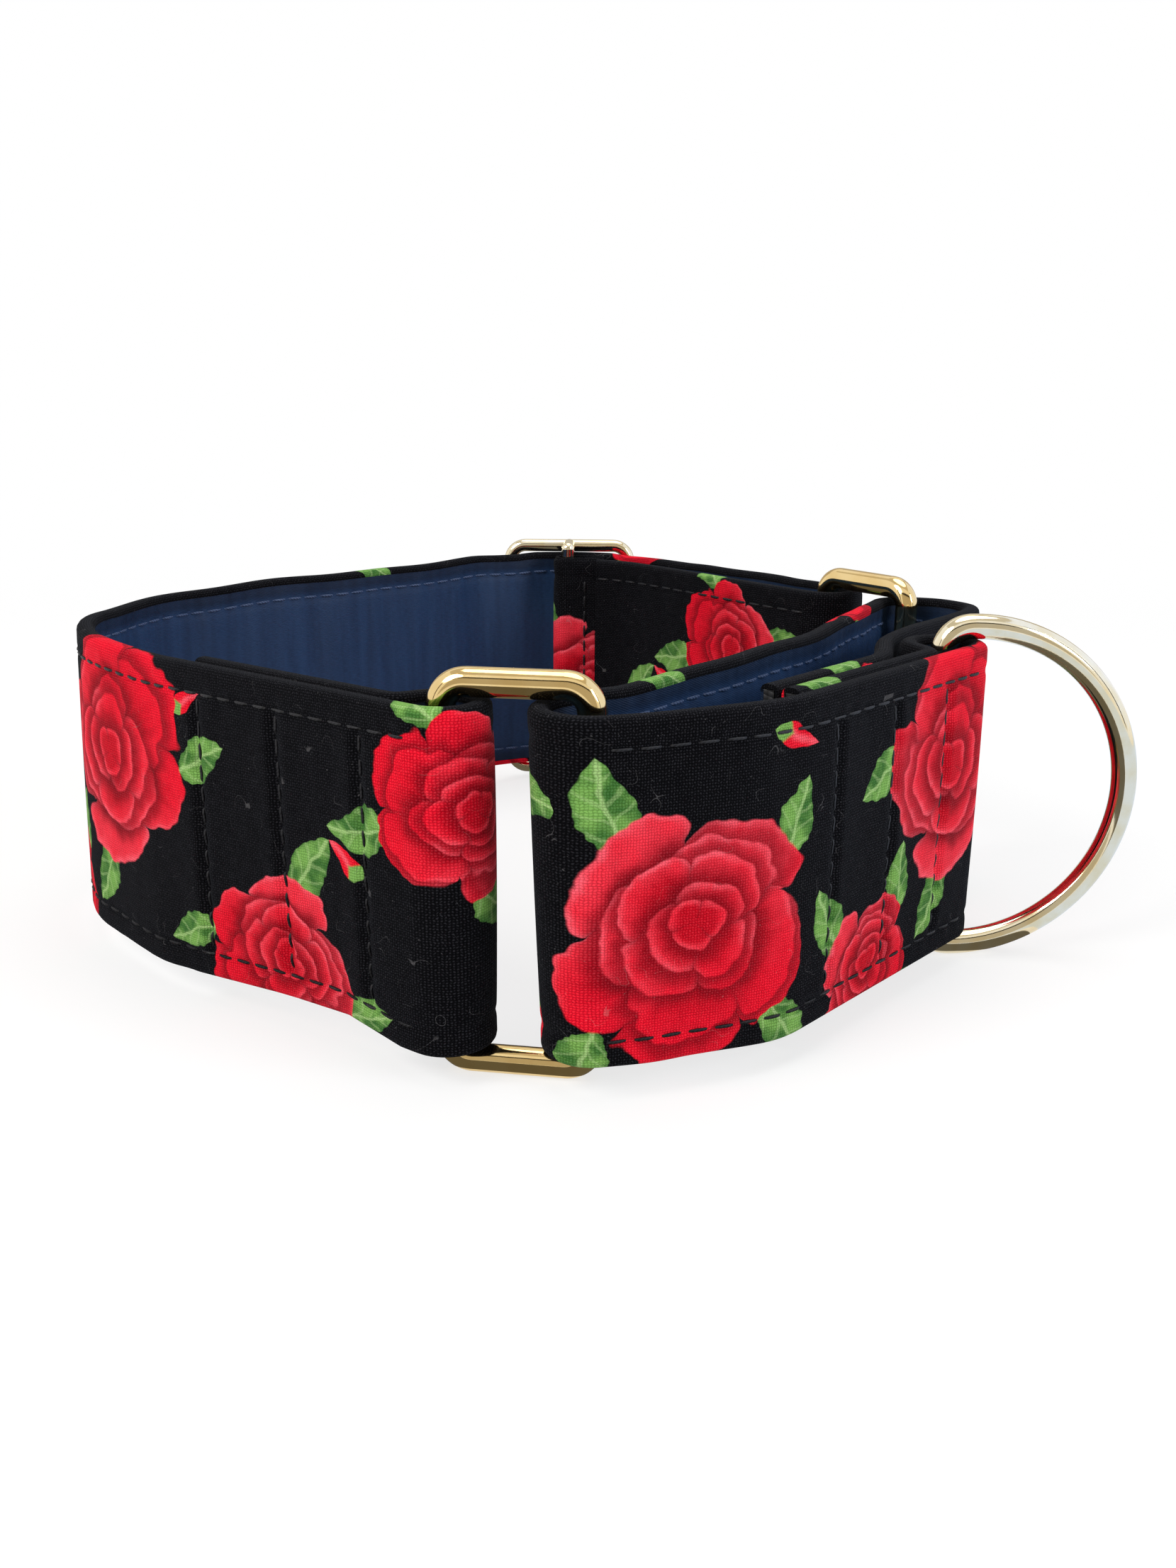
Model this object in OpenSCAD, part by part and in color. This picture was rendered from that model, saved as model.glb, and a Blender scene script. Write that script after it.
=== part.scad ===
// Martingale collar: a lined fabric band, a control loop, two wire rings, a slider and a leash ring.
// Plan view: +X to the right, +Y to the back, +Z up. The origin is in the middle of the neck opening,
// level with the lowest wires.

/* [Strap] */
// Width of both straps
strap_w = 50; // [25:1:60]
// Thickness of the webbing core
webbing_t = 2.0; // [1.2:0.1:2.6]
// Thickness of the printed cover
cover_t = 0.6; // [0.4:0.1:0.9]
// Thickness of the satin lining
lining_t = 0.4; // [0.3:0.1:0.6]
// Width of the cover's turned hem that shows beside the lining
hem_show = 1.3; // [1.2:0.1:4]
// Gap between layers that are sewn flat together
sewn_gap = 0.3; // [0.2:0.05:0.6]

/* [Stitching] */
// Thickness of the sewing thread
thread_d = 0.3; // [0.2:0.05:0.4]
// Distance of the topstitching from the strap's edge
stitch_inset = 4.2; // [3:0.1:7]
// Distance of the first cross seam from the front ring's bar
front_seam_first = 9; // [9:0.5:12]
// Distance from one cross seam to the next at the front ring
front_seam_pitch = 17; // [12:0.5:18]
// Distance of the first cross seam from the leash ring's bar
leash_seam_first = 10; // [9:0.5:13]
// Distance from one cross seam to the next at the leash ring
leash_seam_pitch = 15.5; // [12:0.5:17]
// Number of cross seams at a folded end
seam_count = 3; // [2:1:3]

/* [Wire rings] */
// Wire diameter of the rings
wire_d = 4.1; // [3.4:0.1:5]
// Distance between the two upright bars of a loop ring
ring_spacing = 20.5; // [19.5:0.5:26]
// Bend radius of a loop ring's corners, at the wire's middle
ring_corner_r = 3.6; // [3:0.1:4.4]
// Room above and below the strap inside a ring
window_clear = 0.3; // [0.3:0.05:1.5]
// Room between a bar and the strap folded round it
bar_clear = 1.9; // [1.5:0.05:2.2]
// Direction of the front ring from its left bar to its right bar
front_ring_angle = -9; // [-16:1:4]
// Direction of the rear ring from its left bar to its right bar
rear_ring_angle = -53; // [-60:1:-48]

/* [Leash ring] */
// Distance from the bar to the start of the bow
d_ring_side = 5; // [5:0.5:7]
// Bend radius of the corners between the bar and the sides, at the wire's middle
d_corner_r = 4.5; // [3:0.1:4.6]
// Direction in which the bow points at rest
d_ring_angle = 3; // [-4:1:14]

/* [Slider] */
// Wire diameter of the slider's frame
slider_wire_d = 2.8; // [2.4:0.1:3.4]
// Diameter of the slider's centre bar
slider_bar_d = 3.0; // [2.4:0.1:3.6]
// Distance between the slider's side bars
slider_l = 27.6; // [22:0.2:30]
// Bend radius of the slider's corners, at the wire's middle
slider_corner_r = 3.6; // [2.8:0.1:4.5]
// Room above and below the strap inside the slider
slider_window_clear = 0.4; // [0.3:0.1:1.2]
// Room on each side of the strap that runs through the slider
slider_clear = 0.8; // [0.7:0.05:1.2]
// Thickness of the band's end where it is sewn round the centre bar
tail_t = 1.6; // [1:0.1:2]
// Room between the centre bar and the end sewn round it
tail_gap = 0.2; // [0.1:0.05:0.4]
// Length of the end that lies sewn behind the centre bar
tail_lap = 7; // [4:0.5:9]

/* [Main band] */
// Front ring's left bar, to the right of the origin
front_bar_x = -14.5; // [-17:0.5:-11]
// Front ring's left bar, behind the origin
front_bar_y = -77.5; // [-83:0.5:-74]
// Length of the sewn fold at the front ring
front_fold = 47; // [46:0.5:50]
// Direction of the sewn fold
front_angle = 143; // [137:1:147]
// Length of the front stretch beyond the sewn fold
side_len = 28; // [26:0.5:38]
// Bow of that stretch
side_bow_angle = 15; // [9:0.5:19]
// Bend radius at the closed end
end_r = 37.5; // [30:0.5:40]
// Turn at the closed end
end_bend_angle = 84; // [78:1:90]
// Length of the back stretch up to the slider's bend
back_len = 68; // [60:0.5:76]
// Bend radius at the slider
apex_r = 32; // [30:0.5:38]
// Turn at the slider's bend
apex_bend_angle = 92; // [86:1:98]
// Length of the doubled run from the slider's bend to the rear ring
run_len = 50; // [44:0.5:58]

/* [Control loop] */
// Leash ring's bar, to the right of the origin
d_bar_x = 62.5; // [60:0.5:66]
// Leash ring's bar, behind the origin
d_bar_y = -35; // [-38:0.5:-32]
// Direction of the sewn fold at the leash ring
loop_angle = 228; // [222:1:232]
// Length of the sewn fold at the leash ring
loop_fold = 46; // [44:0.5:48]
// Start of the rear stretch's sewn end, measured from the leash ring's bar
rear_lap_start = 19; // [17:0.5:22]
// Direction in which the front stretch reaches the front ring
loop_front_angle = 193; // [186:1:196]
// Direction in which the inner stretch leaves the front ring
inner_start_angle = 42; // [34:1:50]
// Direction in which the inner stretch reaches the rear ring
inner_end_angle = 64; // [56:1:72]
// Direction in which the rear stretch leaves the rear ring
rear_start_angle = -12; // [-22:1:-2]
// Fullness of the rear stretch beside the rear ring
rear_bulge = 26; // [20:0.5:32]
// Fullness of the rear stretch beside the leash ring
rear_run = 22; // [18:0.5:28]
// Slant of the rear stretch where it passes the fold at the leash ring
rear_pass_angle = 16; // [10:1:22]

/* [Hidden] */
$fn = 64;
// Largest turn between two points of a bend, in degrees
bend_step = 9;
// Points along a free curve
curve_steps = 14;

strap_t = webbing_t + cover_t + lining_t;
half_t = strap_t / 2;
ring_h = strap_w + 2 * window_clear + 2 * wire_d;
mid_z = ring_h / 2;
strap_bottom = mid_z - strap_w / 2;
strap_top = mid_z + strap_w / 2;
// Radius of a fold round a bar, at the strap's middle
fold_r = wire_d / 2 + bar_clear + half_t;
// Distance between the middles of two layers that are sewn together
layer_pitch = strap_t + sewn_gap + thread_d;
// Distance from a bar to where the two layers of a sewn fold meet
fold_close = min(front_seam_first, leash_seam_first) - thread_d;
// Angle by which a sewn fold wraps past a half turn
fold_wrap = 60;
// Pull of the curve by which a sewn fold closes behind its bar
fold_pull = 0.29 * fold_close;

// A path is a list of [x, y, direction]; the cover lies on its left and the lining on its right.
function unit(a) = [cos(a), sin(a)];
function left_of(a) = [-sin(a), cos(a)];
function shifted(p, off) = [p.x - off * sin(p[2]), p.y + off * cos(p[2]), p[2]];
function along(p, d) = [p.x + d * cos(p[2]), p.y + d * sin(p[2]), p[2]];
function xy(p) = [p.x, p.y];
function reversed(list) = [for (i = [len(list) - 1 : -1 : 0]) list[i]];
function turned_back(path) = [for (p = reversed(path)) [p.x, p.y, p[2] + 180]];

// Circular bend that starts at p with radius r; a positive turn goes left.
function bend_at(p, r, turn) =
  let (side = sign(turn), c = shifted(p, side * r))
  [c.x + side * r * sin(p[2] + turn), c.y - side * r * cos(p[2] + turn), p[2] + turn];
function bend(p, r, turn) =
  let (n = max(2, ceil(abs(turn) / bend_step)))
  [for (i = [0 : n]) bend_at(p, r, turn * i / n)];
// Bend given by its length in place of its radius
function bow(p, length, turn) = bend(p, length / (abs(turn) * PI / 180), turn);
// Free curve from p to q that leaves and arrives along their directions
function curve_point(a, b, c, d, s) =
  (1 - s) ^ 3 * a + 3 * (1 - s) ^ 2 * s * b + 3 * (1 - s) * s ^ 2 * c + s ^ 3 * d;
function curve_slope(a, b, c, d, s) =
  (1 - s) ^ 2 * (b - a) + 2 * (1 - s) * s * (c - b) + s ^ 2 * (d - c);
function curve(p, q, pull_p, pull_q, n = curve_steps) =
  let (a = xy(p), d = xy(q), b = a + pull_p * unit(p[2]), c = d - pull_q * unit(q[2]))
  [for (i = [0 : n])
    let (s = i / n, v = curve_slope(a, b, c, d, s), m = curve_point(a, b, c, d, s))
    [m.x, m.y, atan2(v.y, v.x)]];
// Fold round an upright bar, entered and left in the given directions
function fold(bar, from, to) = bend(shifted([bar.x, bar.y, from], fold_r), fold_r, to - from);
// Tail of a sewn fold, from its end to the bend round its bar
function sewn_tail(bar, angle, length) =
  let (inner = shifted([bar.x, bar.y, angle], fold_r - layer_pitch),
    end = along(inner, length),
    meet = along(inner, fold_close))
  concat([[end.x, end.y, angle - 180]],
    curve([meet.x, meet.y, angle - 180], shifted([bar.x, bar.y, angle - 180 + fold_wrap], fold_r),
      fold_pull, fold_pull, 6));
// Bend of a sewn fold round its bar
function sewn_bend(bar, angle) = fold(bar, angle + 180 + fold_wrap, angle);
// Joins stretches that share their end points
function joined(stretches) =
  [for (i = [0 : len(stretches) - 1]) each i == 0 ? stretches[i]
    : [for (k = [1 : len(stretches[i]) - 1]) stretches[i][k]]];
// Middle of the straight piece between two points of a path
function between(p, q) = [(p.x + q.x) / 2, (p.y + q.y) / 2, atan2(q.y - p.y, q.x - p.x)];
// Path whose two end points are moved outward
function lengthened(path, d) =
  let (n = len(path) - 1)
  [for (i = [0 : n]) along(path[i], i == 0 ? -d : i == n ? d : 0)];
function last(list) = list[len(list) - 1];

// Bars of the rings
front_left_bar = [front_bar_x, front_bar_y];
front_right_bar = front_left_bar + ring_spacing * unit(front_ring_angle);
leash_bar = [d_bar_x, d_bar_y];

// Main band: the sewn fold's inner end, round the front ring, the closed end and the slider's bend
front_start = shifted([front_bar_x, front_bar_y, front_angle], fold_r);
side_start = along(front_start, front_fold);
side_path = bow(side_start, side_len, -side_bow_angle);
end_path = bend(last(side_path), end_r, -end_bend_angle);
apex_start = along(last(end_path), back_len);
apex_path = bend(apex_start, apex_r, -apex_bend_angle);
apex_centre = xy(shifted(apex_start, -apex_r));
run_end = along(last(apex_path), run_len);
run_angle = run_end[2];
rear_left_bar = xy(shifted(run_end, -fold_r));
rear_right_bar = rear_left_bar + ring_spacing * unit(rear_ring_angle);
rear_fold = bend(run_end, fold_r, -180);
main_free = joined([[front_start, side_start], side_path, end_path, [last(end_path), apex_start],
  apex_path, [last(apex_path), run_end]]);
main_path = joined([sewn_tail(front_left_bar, front_angle, front_fold),
  sewn_bend(front_left_bar, front_angle), main_free, rear_fold]);

// Return: from the rear ring back to the slider's centre bar, inside the run
slider_stack = half_t + slider_clear + tail_t + 2 * tail_gap + slider_bar_d + half_t;
slider_at = front_angle - side_bow_angle - end_bend_angle - apex_bend_angle / 2;
return_r = apex_r - slider_stack;
bar_r = return_r + half_t + tail_gap + slider_bar_d / 2;
loop_in_r = slider_bar_d / 2 + tail_gap;
// Straight arm of the sewn end in front of the centre bar, as an angle about the slider's bend
arm_turn = tail_lap / return_r * 180 / PI;
return_bend_start = concat(apex_centre + return_r * left_of(run_angle), [run_angle + 180]);
return_start = last(rear_fold);
return_run = curve(return_start, return_bend_start, run_len / 3, run_len / 3, 8);
return_path = joined([return_run, bend(last(return_run), return_r, apex_bend_angle / 2 - arm_turn)]);

// Control loop: sewn fold at the leash ring, front stretch, inner stretch and rear stretch
loop_start = shifted([d_bar_x, d_bar_y, loop_angle], fold_r);
loop_sewn_end = along(loop_start, loop_fold);
loop_at_front = shifted(concat(front_right_bar, [loop_front_angle]), fold_r);
inner_start = shifted(concat(front_right_bar, [inner_start_angle]), fold_r);
inner_end = shifted(concat(rear_right_bar, [inner_end_angle]), fold_r);
rear_start = shifted(concat(rear_right_bar, [rear_start_angle]), fold_r);
rear_lap = along(shifted(loop_start, -2 * layer_pitch), rear_lap_start);
rear_pass = shifted([d_bar_x, d_bar_y, loop_angle + rear_pass_angle], -fold_r - layer_pitch);
pass_reach = norm(xy(rear_pass) - xy(rear_lap));
rear_lap_end = along(shifted(loop_start, -2 * layer_pitch), loop_fold);
front_reach = norm(xy(loop_at_front) - xy(loop_sewn_end));
inner_reach = norm(xy(inner_end) - xy(inner_start));
loop_front = joined([[loop_start, loop_sewn_end],
  curve(loop_sewn_end, loop_at_front, front_reach / 3, front_reach / 3, 8)]);
loop_inner = curve(inner_start, inner_end, inner_reach / 3, inner_reach / 3);
loop_rear = joined([curve(rear_start, rear_pass, rear_bulge, rear_run),
  curve(rear_pass, rear_lap, pass_reach / 3, pass_reach / 3, 4)]);
control_path = joined([sewn_tail(leash_bar, loop_angle, loop_fold), sewn_bend(leash_bar, loop_angle),
  loop_front, fold(front_right_bar, loop_front_angle, inner_start_angle), loop_inner,
  fold(rear_right_bar, inner_end_angle, rear_start_angle), loop_rear, [rear_lap, rear_lap_end]]);

cover_colour = [0.10, 0.08, 0.09];
lining_colour = [0.09, 0.14, 0.25];
webbing_colour = [0.16, 0.16, 0.17];
thread_colour = [0.04, 0.04, 0.05];
metal_colour = [0.84, 0.74, 0.53];

// Layer of a strap between two offsets from its path and two heights
module layer(path, off_a, off_b, z_a, z_b) {
  translate([0, 0, z_a])
    linear_extrude(z_b - z_a)
      polygon(concat([for (p = path) xy(shifted(p, off_a))],
        [for (p = reversed(path)) xy(shifted(p, off_b))]));
}

module strap_webbing(path) {
  layer(path, -half_t + lining_t, half_t - cover_t, strap_bottom + cover_t, strap_top - cover_t);
}

// Cover: outer face, both edges and the hems turned over to the lining side
module strap_cover(path) {
  cut = sewn_gap / 2;
  long = lengthened(path, cut);
  difference() {
    layer(path, -half_t, half_t, strap_bottom, strap_top);
    layer(long, -half_t + lining_t, half_t - cover_t, strap_bottom + cover_t, strap_top - cover_t);
    layer(long, -half_t - cut, 0, strap_bottom + hem_show, strap_top - hem_show);
  }
}

module strap_lining(path) {
  layer(path, -half_t, -half_t + lining_t, strap_bottom + hem_show, strap_top - hem_show);
}

// Row of topstitching on the cover's face
module stitch_row(path, z) {
  layer(path, half_t, half_t + thread_d, z - thread_d / 2, z + thread_d / 2);
}

// Cross seam at a point of a path, on the face at the given offset
module cross_seam(p, off) {
  q = shifted(p, off);
  reach = stitch_inset + 2 * thread_d;
  translate([q.x, q.y, strap_bottom + reach])
    rotate(p[2])
      translate([-thread_d / 2, -thread_d / 2, 0])
        cube([thread_d, thread_d, strap_w - 2 * reach]);
}

// Quarter bend of a wire in the XZ plane, from the +X side to the +Z side of its centre
module wire_corner(r, d) {
  rotate([90, 0, 0])
    rotate_extrude(angle = 90)
      translate([r, 0])
        circle(d = d);
}

// Upright rounded wire frame in the XZ plane, between bars at x = 0 and x = span
module wire_frame(span, height, r, d) {
  for (x = [0, span])
    translate([x, 0, r - height / 2])
      cylinder(d = d, h = height - 2 * r);
  for (z = [-height / 2, height / 2])
    translate([r, 0, z])
      rotate([0, 90, 0])
        cylinder(d = d, h = span - 2 * r);
  for (x = [0, 1], z = [0, 1])
    translate([x == 0 ? r : span - r, 0, z == 0 ? r - height / 2 : height / 2 - r])
      mirror([1 - x, 0, 0])
        mirror([0, 0, 1 - z])
          wire_corner(r, d);
}

module loop_ring(bar, angle) {
  color(metal_colour)
    translate([bar.x, bar.y, mid_z])
      rotate(angle)
        wire_frame(ring_spacing, ring_h - wire_d, ring_corner_r, wire_d);
}

module main_webbing() {
  color(webbing_colour) strap_webbing(main_path);
}

module main_cover() {
  color(cover_colour) strap_cover(main_path);
}

module main_lining() {
  color(lining_colour) strap_lining(main_path);
}

module main_top_stitch() {
  color(thread_colour) stitch_row(main_free, strap_top - stitch_inset);
}

module main_bottom_stitch() {
  color(thread_colour) stitch_row(main_free, strap_bottom + stitch_inset);
}

module front_seams() {
  color(thread_colour)
    for (i = [0 : seam_count - 1]) {
      p = along(front_start, front_seam_first + i * front_seam_pitch);
      cross_seam(p, half_t + thread_d / 2);
      cross_seam(p, -layer_pitch - half_t - thread_d / 2);
    }
}

module return_webbing() {
  color(webbing_colour) strap_webbing(return_path);
}

module return_cover() {
  color(cover_colour) strap_cover(return_path);
}

module return_lining() {
  color(lining_colour) strap_lining(return_path);
}

module return_top_stitch() {
  color(thread_colour) stitch_row(return_path, strap_top - stitch_inset);
}

module return_bottom_stitch() {
  color(thread_colour) stitch_row(return_path, strap_bottom + stitch_inset);
}

module front_ring() {
  loop_ring(front_left_bar, front_ring_angle);
}

module rear_ring() {
  loop_ring(rear_left_bar, rear_ring_angle);
}

slider_h = strap_w + 2 * slider_window_clear + slider_wire_d;
// Distance of the slider's side bars from the middle of its bend, clear of the strap's outer face
side_bar_r = apex_r + half_t + slider_clear + slider_wire_d / 2;
// Distance of the slider's flat frame from the middle of its bend
frame_r = sqrt(side_bar_r ^ 2 - (slider_l / 2) ^ 2);

// Frame of the slider: a flat wire loop whose rails pass over and under the strap's edges
module slider_frame() {
  color(metal_colour)
    translate([apex_centre.x, apex_centre.y, mid_z])
      rotate(slider_at)
        translate([-slider_l / 2, frame_r, 0])
          wire_frame(slider_l, slider_h, slider_corner_r, slider_wire_d);
}

// Centre bar of the slider, inside the strap, with a leg at each end that reaches its rail
module slider_bar() {
  color(metal_colour)
    translate([apex_centre.x, apex_centre.y, mid_z])
      rotate(slider_at)
        difference() {
          translate([0, bar_r, 0]) {
            translate([0, 0, -slider_h / 2])
              cylinder(d = slider_bar_d, h = slider_h);
            for (z = [-slider_h / 2, slider_h / 2])
              translate([0, 0, z]) {
                sphere(d = slider_bar_d);
                rotate([-90, 0, 0])
                  cylinder(d = slider_bar_d, h = frame_r - bar_r);
              }
          }
          for (z = [-slider_h / 2, slider_h / 2])
            translate([-slider_l / 2, frame_r, z])
              rotate([0, 90, 0])
                cylinder(d = slider_wire_d, h = slider_l);
        }
}

// End of the band sewn round the centre bar, written about the slider's bend
loop_mid_r = loop_in_r + tail_t / 2;
slider_loop_path = let (near = [0, bar_r - loop_mid_r, 180], far = [0, bar_r + loop_mid_r, 0])
  joined([turned_back(bend([near.x, near.y, 0], near.y, -arm_turn)),
    bend(near, loop_mid_r, -180), bend(far, far.y, -arm_turn)]);

module slider_loop() {
  color(cover_colour)
    translate([apex_centre.x, apex_centre.y, 0])
      rotate(slider_at)
        layer(slider_loop_path, -tail_t / 2, tail_t / 2, strap_bottom, strap_top);
}

module slider_seam() {
  color(thread_colour)
    translate([apex_centre.x, apex_centre.y, 0])
      rotate(slider_at)
        cross_seam(between(slider_loop_path[0], slider_loop_path[1]), tail_t / 2 + thread_d / 2);
}

module control_webbing() {
  color(webbing_colour) strap_webbing(control_path);
}

module control_cover() {
  color(cover_colour) strap_cover(control_path);
}

module control_lining() {
  color(lining_colour) strap_lining(control_path);
}

module control_top_stitch() {
  color(thread_colour) {
    stitch_row(loop_front, strap_top - stitch_inset);
    stitch_row(loop_inner, strap_top - stitch_inset);
    stitch_row(loop_rear, strap_top - stitch_inset);
  }
}

module control_bottom_stitch() {
  color(thread_colour) {
    stitch_row(loop_front, strap_bottom + stitch_inset);
    stitch_row(loop_inner, strap_bottom + stitch_inset);
    stitch_row(loop_rear, strap_bottom + stitch_inset);
  }
}

module leash_ring_seams() {
  color(thread_colour)
    for (i = [0 : seam_count - 1]) {
      d = leash_seam_first + i * leash_seam_pitch;
      layers = d > rear_lap_start ? 2 : 1;
      p = along(loop_start, d);
      cross_seam(p, half_t + thread_d / 2);
      cross_seam(p, -layers * layer_pitch - half_t - thread_d / 2);
    }
}

// Leash ring: upright bar, rounded corners, two short sides and a half-round bow
module leash_ring() {
  bow_r = (ring_h - wire_d) / 2;
  color(metal_colour)
    translate([d_bar_x, d_bar_y, mid_z])
      rotate(d_ring_angle) {
        translate([0, 0, d_corner_r - bow_r])
          cylinder(d = wire_d, h = 2 * (bow_r - d_corner_r));
        for (z = [0, 1])
          mirror([0, 0, z]) {
            translate([d_corner_r, 0, bow_r - d_corner_r])
              mirror([1, 0, 0])
                wire_corner(d_corner_r, wire_d);
            translate([d_corner_r, 0, bow_r])
              rotate([0, 90, 0])
                cylinder(d = wire_d, h = d_ring_side - d_corner_r);
          }
        translate([d_ring_side, 0, 0])
          rotate([90, 0, 0])
            rotate(-90)
              rotate_extrude(angle = 180)
                translate([bow_r, 0])
                  circle(d = wire_d);
      }
}

main_webbing();
main_cover();
main_lining();
main_top_stitch();
main_bottom_stitch();
front_seams();
return_webbing();
return_cover();
return_lining();
return_top_stitch();
return_bottom_stitch();
front_ring();
rear_ring();
slider_frame();
slider_bar();
slider_loop();
slider_seam();
control_webbing();
control_cover();
control_lining();
control_top_stitch();
control_bottom_stitch();
leash_ring_seams();
leash_ring();
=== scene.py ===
"""Looks of a fabric martingale collar: printed bands, lining, stitching, plated wire and a plain studio."""

import math

import bpy
import numpy as np
from mathutils import Matrix, Vector


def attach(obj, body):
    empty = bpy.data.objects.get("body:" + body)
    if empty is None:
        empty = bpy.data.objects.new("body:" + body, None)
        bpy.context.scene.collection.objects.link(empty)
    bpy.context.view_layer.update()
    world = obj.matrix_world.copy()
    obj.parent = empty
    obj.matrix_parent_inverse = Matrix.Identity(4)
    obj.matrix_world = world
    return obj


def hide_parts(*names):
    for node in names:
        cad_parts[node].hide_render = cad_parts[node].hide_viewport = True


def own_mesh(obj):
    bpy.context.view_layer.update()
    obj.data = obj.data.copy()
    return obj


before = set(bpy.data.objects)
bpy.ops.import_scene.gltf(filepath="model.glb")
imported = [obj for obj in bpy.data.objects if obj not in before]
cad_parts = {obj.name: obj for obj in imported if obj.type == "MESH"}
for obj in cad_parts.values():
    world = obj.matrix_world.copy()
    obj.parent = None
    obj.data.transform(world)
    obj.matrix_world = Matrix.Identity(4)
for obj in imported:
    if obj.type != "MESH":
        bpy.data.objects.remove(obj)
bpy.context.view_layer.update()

MM = 0.001

# Strap and stitching, in millimetres, as in the part's source
STRAP_W = 50.0
WEBBING_T = 2.0
COVER_T = 0.6
LINING_T = 0.4
HEM_SHOW = 1.3
SEWN_GAP = 0.3
THREAD_D = 0.3
STITCH_INSET = 4.2
FRONT_SEAMS = (9.0, 26.0, 43.0)
LEASH_SEAMS = (10.0, 25.5, 41.0)

# Wire rings
WIRE_D = 4.1
RING_SPACING = 20.5
WINDOW_CLEAR = 0.3
BAR_CLEAR = 1.9
FRONT_RING_ANGLE = -9.0
REAR_RING_ANGLE = -53.0

# Slider
SLIDER_BAR_D = 3.0
SLIDER_CLEAR = 0.8
TAIL_T = 1.6
TAIL_GAP = 0.2
TAIL_LAP = 7.0

# Main band
FRONT_BAR = (-14.5, -77.5)
FRONT_FOLD = 47.0
FRONT_ANGLE = 143.0
SIDE_LEN = 28.0
SIDE_BOW_ANGLE = 15.0
END_R = 37.5
END_BEND_ANGLE = 84.0
BACK_LEN = 68.0
APEX_R = 32.0
APEX_BEND_ANGLE = 92.0
RUN_LEN = 50.0

# Control loop
LEASH_BAR = (62.5, -35.0)
LOOP_ANGLE = 228.0
LOOP_FOLD = 46.0
REAR_LAP_START = 19.0
LOOP_FRONT_ANGLE = 193.0
INNER_START_ANGLE = 42.0
INNER_END_ANGLE = 64.0
REAR_START_ANGLE = -12.0
REAR_BULGE = 26.0
REAR_RUN = 22.0
REAR_PASS_ANGLE = 16.0

STRAP_T = WEBBING_T + COVER_T + LINING_T
HALF_T = STRAP_T / 2
RING_H = STRAP_W + 2 * WINDOW_CLEAR + 2 * WIRE_D
MID_Z = RING_H / 2
LOW_Z = MID_Z - STRAP_W / 2
TOP_Z = MID_Z + STRAP_W / 2
FOLD_R = WIRE_D / 2 + BAR_CLEAR + HALF_T
LAYER_PITCH = STRAP_T + SEWN_GAP + THREAD_D
FOLD_CLOSE = min(*FRONT_SEAMS, *LEASH_SEAMS) - THREAD_D
FOLD_WRAP = 60.0
FOLD_PULL = 0.29 * FOLD_CLOSE

# How finely bends and free curves are followed
BEND_STEP = 3.0
CURVE_STEPS = 40


def unit(angle):
    return np.array([math.cos(math.radians(angle)), math.sin(math.radians(angle))])


def left_of(angle):
    return unit(angle + 90)


def shifted(p, off):
    x, y = np.array(p[:2]) + off * left_of(p[2])
    return (x, y, p[2])


def along(p, distance):
    x, y = np.array(p[:2]) + distance * unit(p[2])
    return (x, y, p[2])


def bend(p, radius, turn):
    """Circular bend that starts at p; a positive turn goes left."""
    count = max(2, math.ceil(abs(turn) / BEND_STEP))
    side = math.copysign(1, turn)
    centre = np.array(shifted(p, side * radius)[:2])
    angles = [p[2] + turn * i / count for i in range(count + 1)]
    return [(*(centre - side * radius * left_of(a)), a) for a in angles]


def curve(p, q, pull_p, pull_q, steps=CURVE_STEPS):
    """Free curve from p to q that leaves and arrives along their directions."""
    a, d = np.array(p[:2]), np.array(q[:2])
    b, c = a + pull_p * unit(p[2]), d - pull_q * unit(q[2])
    made = []
    for i in range(steps + 1):
        t = i / steps
        m = (1 - t) ** 3 * a + 3 * (1 - t) ** 2 * t * b + 3 * (1 - t) * t**2 * c + t**3 * d
        v = (1 - t) ** 2 * (b - a) + 2 * (1 - t) * t * (c - b) + t**2 * (d - c)
        made.append((*m, math.degrees(math.atan2(v[1], v[0]))))
    return made


def fold(bar, start, end):
    """Fold round an upright bar, entered and left in the given directions."""
    return bend(shifted((*bar, start), FOLD_R), FOLD_R, end - start)


def sewn_fold(bar, angle, length):
    """Sewn end of a strap that comes back along itself to its bar, and its bend round the bar."""
    inner = shifted((*bar, angle), FOLD_R - LAYER_PITCH)
    end = along(inner, length)
    meet = along(inner, FOLD_CLOSE)
    wrapped = angle - 180 + FOLD_WRAP
    closing = curve((*meet[:2], angle - 180), shifted((*bar, wrapped), FOLD_R), FOLD_PULL, FOLD_PULL)
    return [(*end[:2], angle - 180), *closing, *fold(bar, wrapped + 360, angle)]


def apart(p, q):
    return math.dist(p[:2], q[:2])


# Main band: sewn fold, front ring, closed end, slider's bend and run to the rear ring
front_start = shifted((*FRONT_BAR, FRONT_ANGLE), FOLD_R)
side_start = along(front_start, FRONT_FOLD)
side_path = bend(side_start, SIDE_LEN / math.radians(SIDE_BOW_ANGLE), -SIDE_BOW_ANGLE)
end_path = bend(side_path[-1], END_R, -END_BEND_ANGLE)
apex_start = along(end_path[-1], BACK_LEN)
apex_path = bend(apex_start, APEX_R, -APEX_BEND_ANGLE)
apex_centre = np.array(shifted(apex_start, -APEX_R)[:2])
run_end = along(apex_path[-1], RUN_LEN)
run_angle = run_end[2]
rear_left_bar = shifted(run_end, -FOLD_R)[:2]
rear_right_bar = tuple(np.array(rear_left_bar) + RING_SPACING * unit(REAR_RING_ANGLE))
front_right_bar = tuple(np.array(FRONT_BAR) + RING_SPACING * unit(FRONT_RING_ANGLE))
rear_fold = bend(run_end, FOLD_R, -180)
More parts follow.
